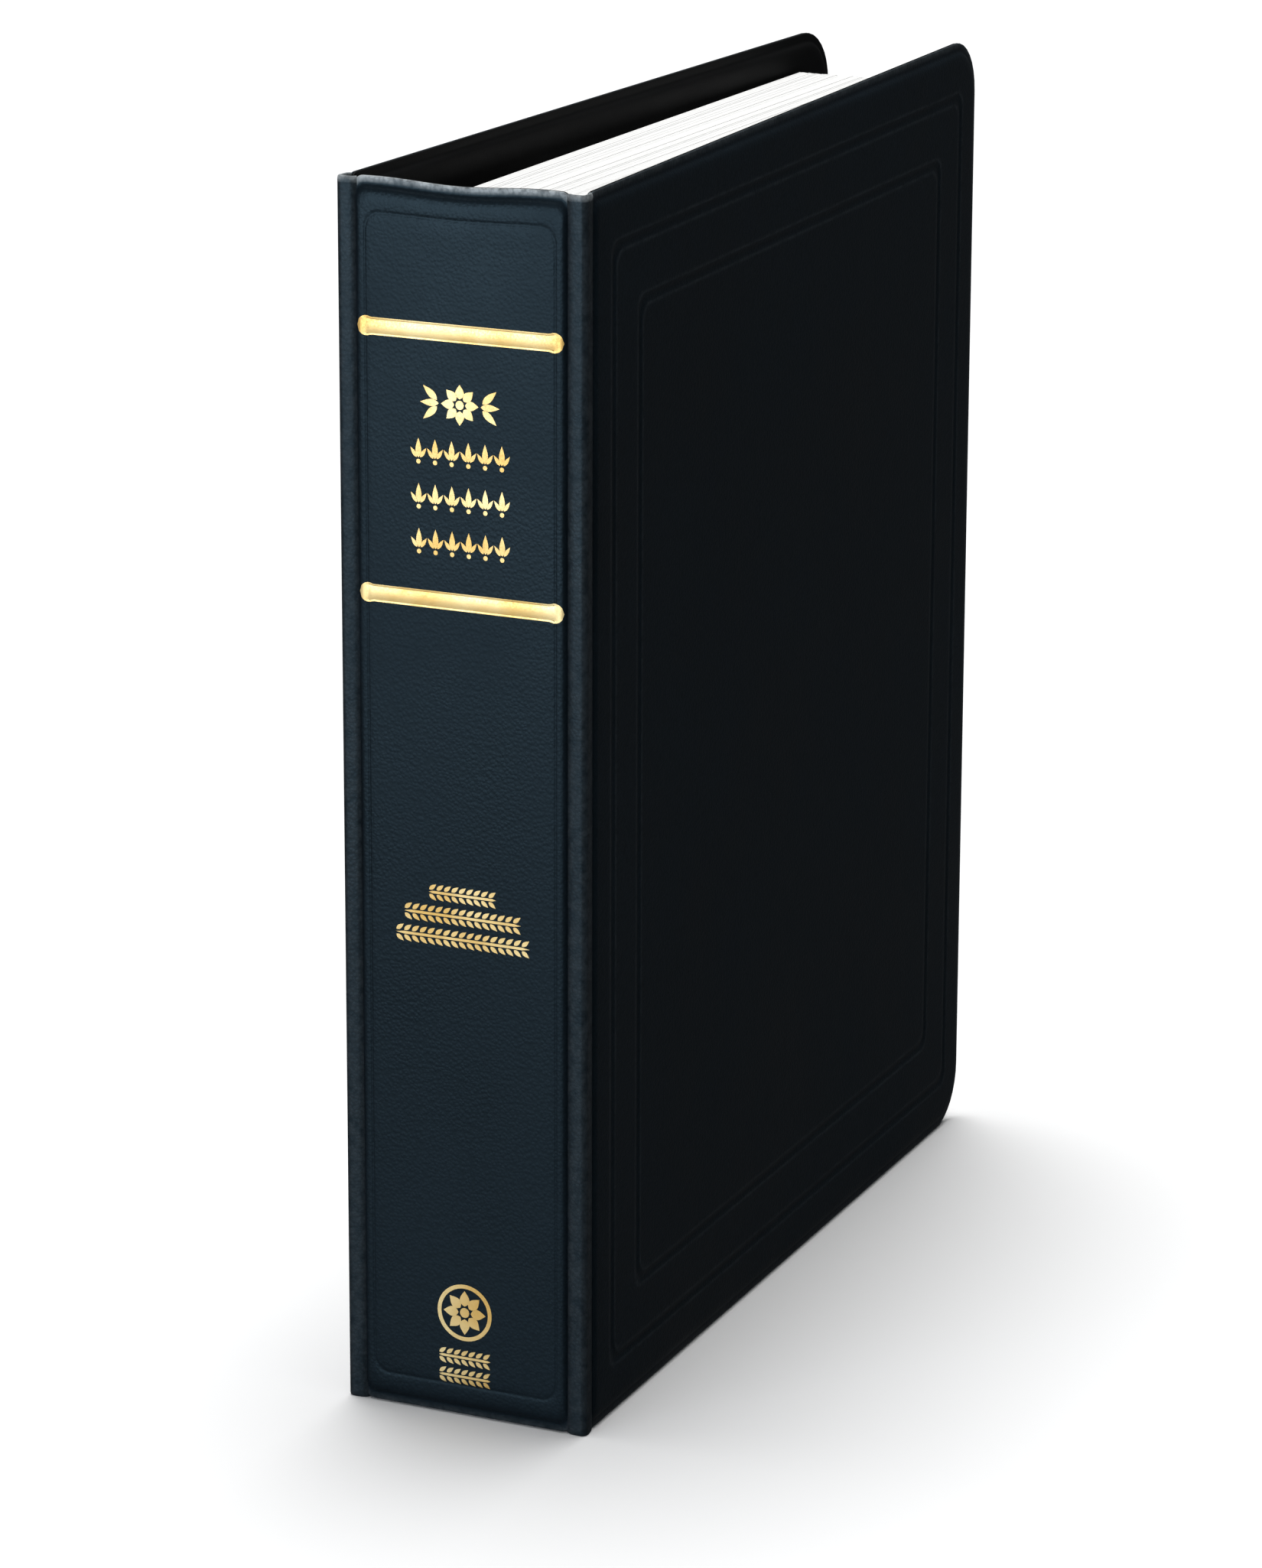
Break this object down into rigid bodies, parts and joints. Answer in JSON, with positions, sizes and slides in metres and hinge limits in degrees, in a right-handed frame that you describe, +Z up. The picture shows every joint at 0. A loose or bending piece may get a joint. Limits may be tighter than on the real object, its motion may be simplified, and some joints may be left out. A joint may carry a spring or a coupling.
{
  "type": "loose-leaf binder",
  "caption": "Upright black leather-grain vinyl ring binder with gilt bands on its spine and a block of punched leaves inside.",
  "frame": {"origin": "middle of the underside of the closed binder's bounding box, standing on its lower edges", "axes": "+X from the spine to the fore-edge, +Y out of the back cover, +Z up along the spine"},
  "size_m": [0.2294, 0.0568, 0.267],
  "materials": {
    "case_vinyl": "black leather-grained vinyl sheet with a soft gloss",
    "liner_vinyl": "black vinyl sheet with a fine matt grain",
    "case_board": "grey-brown binder's board",
    "gilt_foil": "hot-stamped gilt foil",
    "nickel_steel": "nickel-plated steel",
    "leaf_paper": "thin uncoated book paper",
    "lifter_plastic": "black plastic sheet"
  },
  "bodies": {
    "back_cover": {"back_cover_skin": "case_vinyl", "back_cover_board": "case_board", "back_cover_liner": "liner_vinyl", "ring_housing": "nickel_steel", "ring_post_bottom": "nickel_steel", "ring_post_middle": "nickel_steel", "ring_post_top": "nickel_steel", "housing_rivet_bottom": "nickel_steel", "housing_rivet_top": "nickel_steel", "rear_sheet_lifter": "lifter_plastic", "leaf_packet_1": "leaf_paper", "leaf_packet_2": "leaf_paper", "leaf_packet_3": "leaf_paper", "leaf_packet_4": "leaf_paper", "leaf_packet_5": "leaf_paper", "leaf_packet_6": "leaf_paper"},
    "spine": {"spine_skin": "case_vinyl", "spine_board": "case_board", "spine_liner": "liner_vinyl", "back_hinge_weld": "case_vinyl", "front_hinge_weld": "case_vinyl", "upper_gilt_rule": "gilt_foil", "lower_gilt_rule": "gilt_foil"},
    "front_cover": {"front_cover_skin": "case_vinyl", "front_cover_board": "case_board", "front_cover_liner": "liner_vinyl"},
    "ring_arcs": {"swing_shaft": "nickel_steel", "ring_arc_bottom": "nickel_steel", "ring_arc_middle": "nickel_steel", "ring_arc_top": "nickel_steel"},
    "top_lever": {"top_lever": "nickel_steel"},
    "bottom_lever": {"bottom_lever": "nickel_steel"},
    "turning_leaves": {"turning_leaves": "leaf_paper"}
  },
  "joints": [
    {"name": "spine_hinge", "type": "hinge", "parent": "back_cover", "child": "spine", "pos_m": [-0.1131, 0.02675, 0.1335], "axis": [0, 0, -1], "range_deg": [0, 93]},
    {"name": "cover_hinge", "type": "hinge", "parent": "spine", "child": "front_cover", "pos_m": [-0.10982, -0.02695, 0.1335], "axis": [0, 0, -1], "range_deg": [0, 100]},
    {"name": "leaf_turn", "type": "hinge", "parent": "back_cover", "child": "turning_leaves", "pos_m": [-0.08575, -0.0072, 0.1335], "axis": [0, 0, -1], "range_deg": [0, 80]},
    {"name": "ring_swing", "type": "hinge", "parent": "back_cover", "child": "ring_arcs", "pos_m": [-0.09875, 0.0221, 0.1335], "axis": [0, 0, -1], "range_deg": [0, 14]},
    {"name": "top_lever_tilt", "type": "hinge", "parent": "back_cover", "child": "top_lever", "pos_m": [-0.09525, 0.0222, 0.2524], "axis": [-1, 0, 0], "range_deg": [0, 28]},
    {"name": "bottom_lever_tilt", "type": "hinge", "parent": "back_cover", "child": "bottom_lever", "pos_m": [-0.09525, 0.0222, 0.0146], "axis": [1, 0, 0], "range_deg": [0, 28]}
  ],
  "couplings": [
    {"joint": "leaf_turn", "follows": "cover_hinge", "ratio": 0.8},
    {"joint": "top_lever_tilt", "follows": "ring_swing", "ratio": 2},
    {"joint": "bottom_lever_tilt", "follows": "ring_swing", "ratio": 2}
  ]
}
